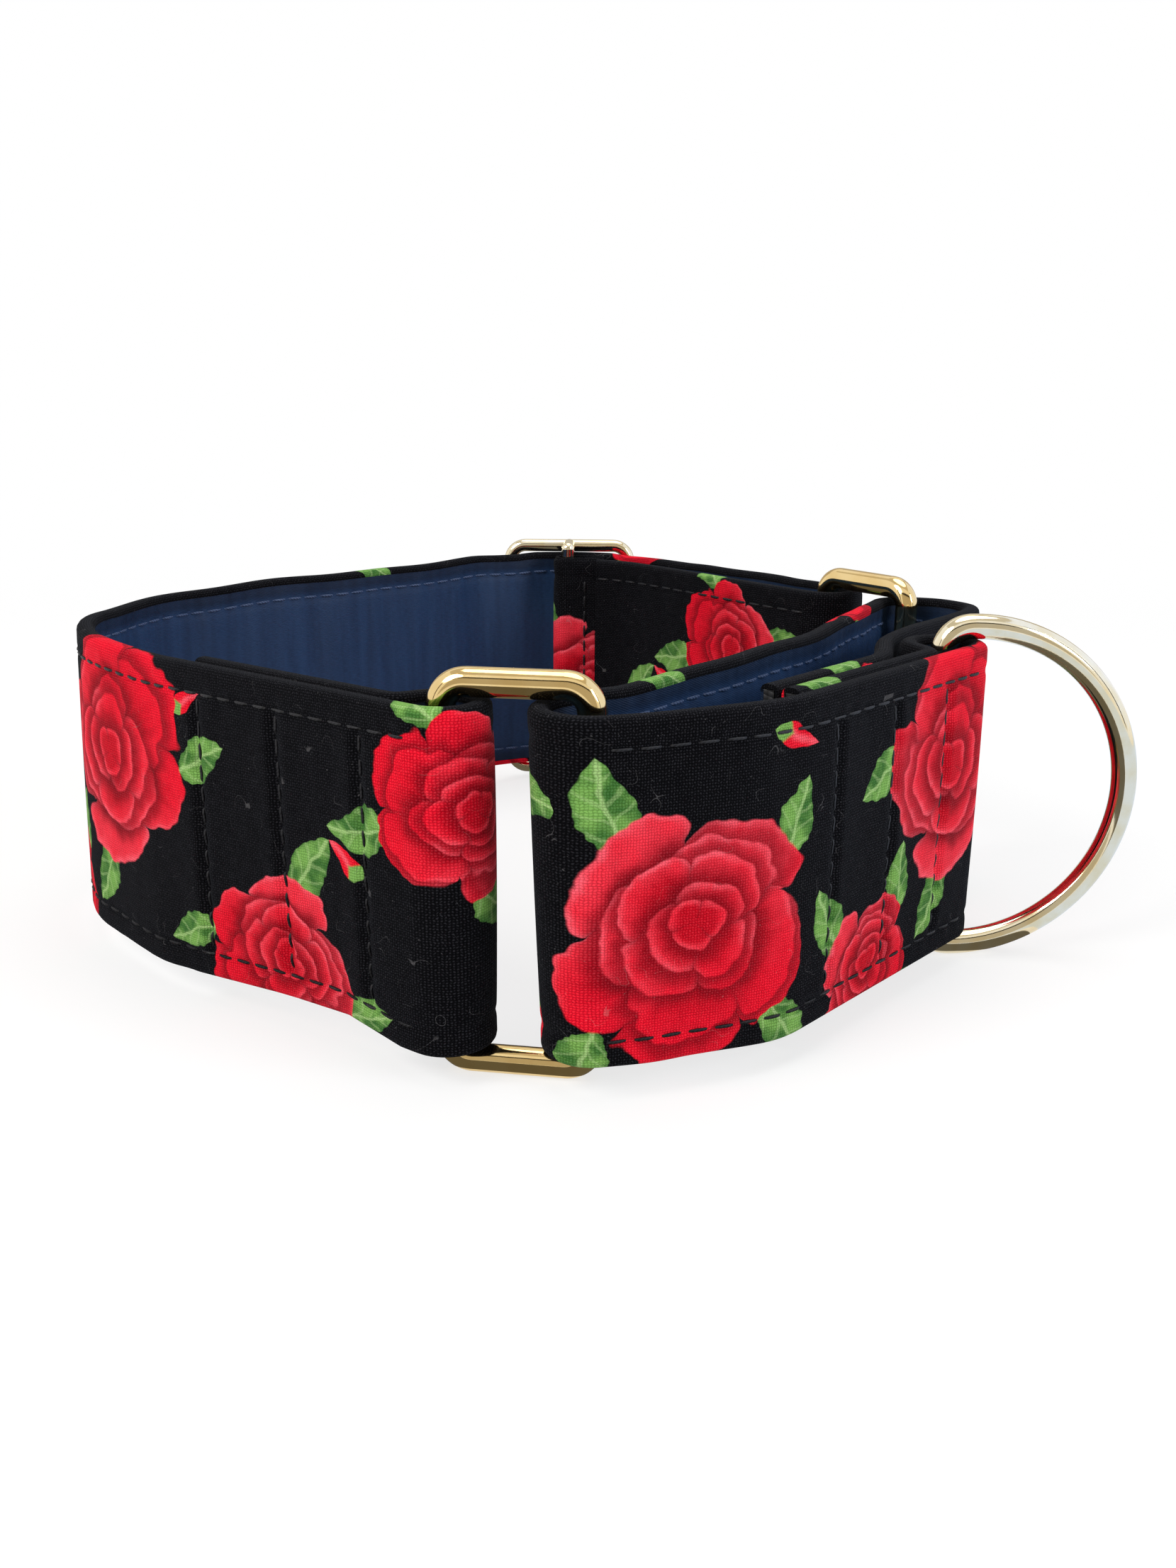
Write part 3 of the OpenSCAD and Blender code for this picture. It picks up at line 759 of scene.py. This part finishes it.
def printed_cotton():
    """Printed plain-weave cotton: blooms, leaves and buds on black, with lint, painted shade in the weave's
    gaps and a painted highlight on the raised yarn.
    """
    fixed = {
        "Specular IOR Level": 0.04,
        "Sheen Weight": 0.03,
        "Sheen Roughness": 0.4,
        "Sheen Tint": (0.72, 0.8, 1.0, 1.0),
    }
    material, shader, place = new_finish("printed_cotton", fixed, ON_STRAP)
    s, t = place.parts()
    wander = place.node(
        "ShaderNodeTexNoise", {}, {"Vector": place.scaled(0.22, 0.22), "Scale": 1.0, "Detail": 2.0}, "Color"
    )
    wander = wander.node(
        "ShaderNodeVectorMath",
        {"operation": "MULTIPLY_ADD"},
        {0: wander, 1: (2 * PRINT_WANDER, 2 * PRINT_WANDER, 0), 2: (-PRINT_WANDER, -PRINT_WANDER, 0)},
    )
    wrapped = s.math("WRAP", PRINT_REPEAT, 0.0)
    tiled = s.node("ShaderNodeCombineXYZ", {}, {0: wrapped, 1: t})
    drawn = tiled.node("ShaderNodeVectorMath", {"operation": "ADD"}, {0: tiled, 1: wander})
    leaves = []
    for x, y, size, turn in BLOOMS:
        for way, half, slant in BLOOM_LEAVES:
            far = (size + 0.55 * half) * unit(way + turn)
            leaves.append((x + far[0], y + far[1], half, way + turn + slant))
    ink = GROUND
    for drawing, motifs in ((leaf, leaves), (bud, BUDS), (bloom, BLOOMS)):
        colour, inside = drawing(nearest(drawn, motifs))
        ink = inside.mix(ink, colour)
    slub = place.grain(0.35, 3.2) * 0.5 + place.grain(3.2, 0.35) * 0.5
    over = ((s + 0.5 * place.grain(0.5, 2.4)) * (math.pi / WEAVE_PITCH)).math("SINE")
    under = ((t + 0.5 * place.grain(2.4, 0.5)) * (math.pi / WEAVE_PITCH)).math("SINE")
    weave = abs(over * under) ** 0.7
    upper = (over * under).step(-0.35, 0.35)
    yarn = weave * (0.84 + 0.22 * upper) + 1.1 * (slub - 0.5)
    # Painted shade in the gaps of the weave and on its thinner yarn
    ink = yarn.step(0.0, 0.75).dull(ink, 0.6)
    # Painted highlight on the raised yarn
    ink = (yarn.step(0.5, 1.1) * 0.055).mix(ink, YARN_HIGHLIGHT)
    hair = abs(place.grain(0.185, 0.185, 1.0) - 0.5).step(0.0028, 0.001)
    hair = hair * place.grain(0.24, 0.24, 0.0).step(0.60, 0.66)
    fluff = place.grain(1.9, 1.9, 1.0).step(0.74, 0.80)
    ink = (hair.math("MAXIMUM", fluff) * 0.15).mix(ink, LINT)
    ink.into(shader, "Base Color")
    (0.82 + 0.14 * slub).into(shader, "Roughness")
    embossed(weave * (0.6 + 0.8 * slub), shader, 0.7, 0.14)
    return material


def satin():
    """Navy satin with fine floats and faint draw lines across the strap, darker beyond the rows as painted
    shade.
    """
    fixed = {"Specular IOR Level": 0.2}
    material, shader, place = new_finish("navy_satin", fixed, ON_STRAP)
    s, t = place.parts()
    draw = place.grain(0.42, 0.035, 3.0)
    floats = place.grain(0.9, 5.5, 2.0)
    twill = ((s * 0.45 + t) * (2 * math.pi / 0.34)).math("SINE")
    tone = (draw * 0.5 + floats * 0.5).step(0.25, 0.75).mix(paint(20, 40, 70), paint(32, 58, 94))
    row_at = STRAP_W / 2 - STITCH_INSET
    # Painted shade: darker between the rows of stitching and the edges
    tone = abs(t).step(row_at + 1.6, row_at).dull(tone, 0.5)
    tone.into(shader, "Base Color")
    (0.40 + 0.18 * floats).into(shader, "Roughness")
    embossed(draw * 0.9 + 0.25 * floats + 0.08 * twill, shader, 0.4, 0.3)
    return material


def ribbed_webbing():
    """Black nylon webbing with ribs across it, with painted shade between the ribs."""
    material, shader, place = new_finish("ribbed_webbing", {"Specular IOR Level": 0.4}, ON_STRAP)
    s, t = place.parts()
    rib = abs((s * (math.pi / 1.1)).math("SINE"))
    end = abs((t * (math.pi / 0.8) + s * 0.9).math("SINE"))
    # Painted shade in the troughs between the ribs
    rib.dull(paint(34, 34, 37), 0.5).into(shader, "Base Color")
    (0.55 + 0.2 * end).into(shader, "Roughness")
    embossed(rib + 0.4 * end, shader, 0.7, 0.3)
    return material


def twisted_thread():
    """Sewing thread with its twist, its crests painted lighter as a highlight: black on the printed side, navy
    on the lining side.
    """
    material, shader, place = new_finish("sewing_thread", {"Specular IOR Level": 0.32}, ON_STRAP)
    s, t = place.parts()
    twist = (s * (2 * math.pi * 5 / UV_MM) + t * (2 * math.pi * 2 / UV_MM)).math("SINE") * 0.5 + 0.5
    # Painted highlight on the crests of the twist
    black = twist.mix(paint(8, 8, 11), paint(26, 26, 32))
    navy = twist.mix(paint(36, 52, 84), paint(70, 88, 122))
    lining_side = s.step(UV_MM * (LINING_SIDE_UV - 0.6), UV_MM * (LINING_SIDE_UV - 0.4))
    lining_side.mix(black, navy).into(shader, "Base Color")
    (0.45 + 0.2 * twist).into(shader, "Roughness")
    embossed(twist, shader, 0.5, 0.05)
    return material


def plated_wire(name, fresh, rubbed):
    """Polished plating with fine rub marks and a little handling haze."""
    fixed = {"Metallic": 1.0, "Specular IOR Level": 0.5}
    material, shader, place = new_finish(name, fixed, ON_METAL)
    haze = place.grain(0.22, 0.22, 3.0, 0.22)
    marks = place.grain(2.6, 2.6, 2.0, 0.35)
    haze.step(0.3, 0.75).mix(fresh, rubbed).into(shader, "Base Color")
    (0.07 + 0.10 * haze * marks).into(shader, "Roughness")
    embossed(marks, shader, 0.12, 0.02)
    return material


cotton = printed_cotton()
lining_cloth = satin()
core_cloth = ribbed_webbing()
thread = twisted_thread()
gold_wire = plated_wire("gold_plated_wire", paint(236, 208, 150), paint(228, 196, 134))
pale_wire = plated_wire("pale_plated_wire", paint(238, 228, 202), paint(232, 214, 172))

# The straps, with where their rows of stitching run and what holds them
main = Strap(main_path, 11)
control = Strap(control_path, 23)
back_strap = Strap(return_path, 37)
slider_end = Strap(slider_loop_path, 41, TAIL_T)

main_front = main.where(front_start)
main_run_end = main.where(run_end)
apex_at = main.where(apex_path[len(apex_path) // 2])
main.seams = [main_front + d for d in FRONT_SEAMS] + [FRONT_FOLD - d for d in FRONT_SEAMS]
main.held = [(0, main_front + FRONT_FOLD), (apex_at - 16, apex_at + 30), (main_run_end - 8, main.length)]
end_from, end_to = main.where(end_path[0]), main.where(end_path[-1])
# How far the lower and the upper edge lean out and rise: first by distance from the front ring's bar,
# then round the closed end
FRONT_LEAN = ((3.0, 0.0), (15.0, -1.6), (30.0, -1.0), (47.0, 0.4))
FRONT_RISE = ((3.0, 0.3), (15.0, 1.1), (26.0, 0.9), (47.0, 0.0))
main.lean = [(FRONT_FOLD - d, -low, 0.0) for d, low in reversed(FRONT_LEAN)]
main.lean += [(main_front + d, low, 0.0) for d, low in FRONT_LEAN]
main.rise = [(FRONT_FOLD - d, low, 0.0) for d, low in reversed(FRONT_RISE)]
main.rise += [(main_front + d, low, 0.0) for d, low in FRONT_RISE]
main.lean += [
    (end_from, 1.0, -0.6),
    ((end_from + end_to) / 2, 0.9, -2.2),
    (end_to, 0.2, -1.0),
    (end_to + 25, 0.0, 0.0),
]
# Inside the slider the upper edge rides up to the frame's rail
main.lean += [(apex_at + d, 0.0, top) for d, top in ((-13, 0.0), (-8, 0.7), (8, 0.7), (13, 0.0))]
main.rise += [(apex_at + d, 0.0, top) for d, top in ((-13, 0.0), (-9, 0.3), (9, 0.3), (13, 0.0))]
back_strap.held = [(0, back_strap.length)]
slider_end.held = [(0, slider_end.length)]

leash_at = control.where(loop_start)
front_in, front_out = control.where(loop_at_front), control.where(inner_start)
rear_in, rear_out = control.where(inner_end), control.where(rear_start)
pass_at, lap_at = control.where(rear_pass), control.where(rear_lap)
control.seams = [leash_at + d for d in LEASH_SEAMS]
control.seams += [LOOP_FOLD - d for d in LEASH_SEAMS if d < REAR_LAP_START]
lap_seams = [control.length - LOOP_FOLD + d for d in LEASH_SEAMS if d > REAR_LAP_START]
control.held = [
    (0, leash_at + LOOP_FOLD),
    (front_in - 4, front_out + 4),
    (rear_in - 4, rear_out + 4),
    (pass_at - 6, control.length),
]
control.lean = [(front_in - 25, 0.0, 0.0), ((front_in + front_out) / 2, 0.0, 1.8), (front_out + 20, 0.0, 0.0)]
control.rise = [
    (front_in - 30, 0.0, 0.0),
    (front_in, 0.5, 0.0),
    (front_out, 0.5, 0.0),
    (front_out + 20, 0.0, 0.0),
]
control_spans = [(leash_at, front_in), (front_out, rear_in), (rear_out, lap_at)]

lining_face = -HALF_T + LINING_SINK
lining_inset = HEM_SHOW - LINING_TUCK
lining_back = -HALF_T + LINING_T + 0.1
lining_section = flat_section(
    lining_face, lining_back, LOW_Z + lining_inset, TOP_Z - lining_inset, lining_face, LINING_COLUMNS
)
webbing_section = flat_section(
    -HALF_T + LINING_T + 0.15, CORE_TOP, LOW_Z + CORE_INSET, TOP_Z - CORE_INSET, CORE_TOP, CORE_COLUMNS
)

made = []


def fitted(piece, body, slot, *nodes):
    """A piece that stands for these CAD nodes and moves with a body; slot is not used."""
    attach(piece, body)
    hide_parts(*nodes)
    made.append(piece)
    return piece


for name, strap, body, uv_start in (
    ("main", main, "main_band", 0.0),
    ("return", back_strap, "main_band", main.length),
    ("control", control, "control_loop", CONTROL_UV),
):
    cover = fitted(
        swept(f"{name}_cover_cloth", strap, cover_section(), cotton, uv_start),
        body, "printed_cotton", f"{name}_cover",
    )
    lining = fitted(
        swept(f"{name}_lining_satin", strap, lining_section, lining_cloth, uv_start),
        body, "satin_lining", f"{name}_lining",
    )
    fitted(
        swept(f"{name}_webbing_core", strap, webbing_section, core_cloth, uv_start),
        body, "webbing", f"{name}_webbing",
    )

for name, strap, body, spans in (
    ("main", main, "main_band", [(main_front, main_run_end)]),
    ("return", back_strap, "main_band", [(0.0, back_strap.length)]),
    ("control", control, "control_loop", control_spans),
):
    for row, z in zip(("bottom", "top"), ROW_Z):
        runs = [row_run(strap, side, *span, z) for span in spans for side in (1, -1)]
        fitted(
            thread_piece(f"{name}_{row}_stitches", runs, thread), body, "thread", f"{name}_{row}_stitch"
        )

fitted(
    thread_piece("front_cross_stitches", [seam_run(main, 1, s) for s in main.seams], thread),
    "main_band", "thread", "front_seams",
)
leash_seam_runs = [seam_run(control, 1, s) for s in control.seams]
leash_seam_runs += [seam_run(control, -1, s) for s in lap_seams]
fitted(
    thread_piece("leash_ring_cross_stitches", leash_seam_runs, thread),
    "control_loop", "thread", "leash_ring_seams",
)
fitted(
    swept("slider_end_cloth", slider_end, cover_section(TAIL_T / 2), cotton, SLIDER_END_UV, SLIDER_END_STEP),
    "slider", "printed_cotton", "slider_loop",
)
slider_seam_run = seam_run(slider_end, 1, slider_end.length * SLIDER_SEAM_AT)
fitted(
    thread_piece("slider_end_stitches", [slider_seam_run], thread),
    "slider", "thread", "slider_seam",
)

# The return strap shortens towards the rear ring as the slider moves along its bend; here its pieces only get
# meshes of their own
for piece in made:
    if piece.name.startswith("return_"):
        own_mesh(piece)

for name, finish in (
    ("front_ring", gold_wire),
    ("rear_ring", gold_wire),
    ("slider_frame", pale_wire),
    ("slider_bar", pale_wire),
    ("leash_ring", pale_wire),
):
    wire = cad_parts[name]
    wire.data.materials.clear()
    wire.data.materials.append(finish)

# Camera of the photograph: focal length in its pixels, place in millimetres and tilt in degrees
PHOTO_H = 2212
FOCAL_PX = 2014.5
CAMERA_AT = (5.2, -262.7, 97.2)
CAMERA_DOWN = 16.44
CAMERA_ROLL = 0.29
camera_data = bpy.data.cameras.new("photo_camera")
camera_data.sensor_width = 36.0
camera_data.lens = FOCAL_PX / PHOTO_H * camera_data.sensor_width
camera_data.clip_start = 0.01
camera = bpy.data.objects.new("photo_camera", camera_data)
bpy.context.scene.collection.objects.link(camera)
camera.matrix_world = (
    Matrix.Translation(Vector(CAMERA_AT) * MM)
    @ Matrix.Rotation(math.radians(90 - CAMERA_DOWN), 4, "X")
    @ Matrix.Rotation(math.radians(CAMERA_ROLL), 4, "Z")
)
bpy.context.scene.camera = camera


def seen_directly(tree):
    """1 for camera, glossy and transmitted rays."""
    path = tree.nodes.new("ShaderNodeLightPath")
    rays = [Flow(tree, path.outputs[f"Is {kind} Ray"]) for kind in ("Camera", "Glossy", "Transmission")]
    return rays[0].math("MAXIMUM", rays[1]).math("MAXIMUM", rays[2])


# Pale floor that reads as white and keeps a soft shadow
FLOOR_HALF = 3.0
FLOOR_GLOW = 0.72
SHADOW_FADE = (0.16, 0.5)
floor_mesh = bpy.data.meshes.new("floor")
floor_mesh.from_pydata(
    [(x, y, 0.0) for x, y in ((-1, -1), (1, -1), (1, 1), (-1, 1))], [], [(0, 1, 2, 3)]
)
floor = bpy.data.objects.new("floor", floor_mesh)
floor.scale = (FLOOR_HALF, FLOOR_HALF, 1)
bpy.context.scene.collection.objects.link(floor)
floor_finish = bpy.data.materials.new("pale_floor")
floor_finish.use_nodes = True
floor_tree = floor_finish.node_tree
floor_tree.nodes.remove(floor_tree.nodes["Principled BSDF"])
floor_mesh.materials.append(floor_finish)
direct = seen_directly(floor_tree)
matt = direct.node("ShaderNodeBsdfDiffuse", {}, {"Color": (0.86, 0.86, 0.86, 1)})
glow = direct.node("ShaderNodeEmission", {}, {"Color": (1, 1, 1, 1), "Strength": 1.0})
from_object = Flow(floor_tree, floor_tree.nodes.new("ShaderNodeNewGeometry").outputs["Position"]).length()
clear_share = FLOOR_GLOW + (1 - FLOOR_GLOW) * from_object.step(*SHADOW_FADE)
pale = direct.node("ShaderNodeMixShader", {}, {0: direct * clear_share, 1: matt, 2: glow})
pale.into(floor_tree.nodes["Material Output"], "Surface")


def studio_card(name, corners, colour):
    """Card that only polished metal mirrors; it throws no light or shadow and the camera looks past it."""
    mesh = bpy.data.meshes.new(name)
    mesh.from_pydata(corners, [], [(0, 1, 2, 3)])
    card = bpy.data.objects.new(name, mesh)
    bpy.context.scene.collection.objects.link(card)
    finish = bpy.data.materials.new(name)
    finish.use_nodes = True
    tree = finish.node_tree
    tree.nodes.remove(tree.nodes["Principled BSDF"])
    lit = Flow(tree, None).node("ShaderNodeEmission", {}, {"Color": (*colour, 1.0), "Strength": 1.0})
    lit.into(tree.nodes["Material Output"], "Surface")
    mesh.materials.append(finish)
    for rays in ("camera", "diffuse", "transmission", "volume_scatter", "shadow"):
        setattr(card, f"visible_{rays}", False)


# Cards: mid-toned ones in front, behind and overhead, dark flags above the camera, at both sides and under
# the collar, and a cool bounce and softbox on the leash ring's side
for name, low, high, colour in (
    ("front_card", (-0.75, -0.8, 0.02), (0.75, -0.8, 0.62), (0.55, 0.51, 0.43)),
    ("upper_flag", (-0.75, -0.8, 0.62), (0.75, -0.8, 0.84), (0.05, 0.045, 0.035)),
    ("overhead_card", (-0.9, -0.6, 1.25), (0.9, 0.9, 1.25), (0.66, 0.62, 0.54)),
    ("left_flag", (-1.0, -0.5, 0.02), (-0.78, -0.5, 0.8), (0.06, 0.05, 0.04)),
    ("right_flag", (0.62, -0.35, 0.02), (0.84, -0.35, 0.8), (0.06, 0.055, 0.05)),
    ("floor_flag", (-0.14, -0.27, 0.001), (0.083, 0.2, 0.001), (0.14, 0.13, 0.105)),
    ("back_card", (0.75, 0.8, 0.02), (-0.75, 0.8, 0.62), (0.55, 0.51, 0.43)),
    ("right_bounce", (0.085, -0.35, 0.001), (0.6, 0.3, 0.001), (0.76, 0.88, 1.1)),
    ("right_softbox", (0.8, -0.5, 0.05), (0.8, 1.2, 1.6), (1.0, 1.1, 1.35)),
):
    turn = (low[0], high[1], low[2]) if low[0] == high[0] else (high[0], low[1], low[2])
    studio_card(name, [low, turn, high, tuple(a + b - c for a, b, c in zip(low, high, turn))], colour)

# White surroundings, with softer light than the camera sees
world = bpy.data.worlds.new("studio")
bpy.context.scene.world = world
world.use_nodes = True
sky = world.node_tree
backdrop = sky.nodes["Background"]
WORLD_LIGHT = 0.34
seen_sky = seen_directly(sky)
(WORLD_LIGHT + (1 - WORLD_LIGHT) * seen_sky).into(backdrop, "Strength")
backdrop.inputs["Color"].default_value = (1, 1, 1, 1)

# Soft lamps: name, place and size in metres, power in watts, colour
LAMPS = (
    ("window_lamp", (-0.75, -0.55, 0.85), 0.7, 12.0, (1.0, 0.97, 0.93)),
    ("top_lamp", (0.1, 0.15, 1.1), 0.9, 5.0, (1.0, 1.0, 1.0)),
    ("side_lamp", (0.85, -0.45, 0.5), 0.5, 6.0, (0.92, 0.96, 1.0)),
)
AIM = Vector((0.0, -0.01, 0.03))
for name, place, size, watts, colour in LAMPS:
    data = bpy.data.lights.new(name, "AREA")
    data.shape, data.size, data.energy, data.color = "DISK", size, watts, colour
    lamp = bpy.data.objects.new(name, data)
    lamp.location = place
    lamp.rotation_euler = (AIM - Vector(place)).to_track_quat("-Z", "Y").to_euler()
    bpy.context.scene.collection.objects.link(lamp)

bpy.context.scene.view_settings.view_transform = "Standard"
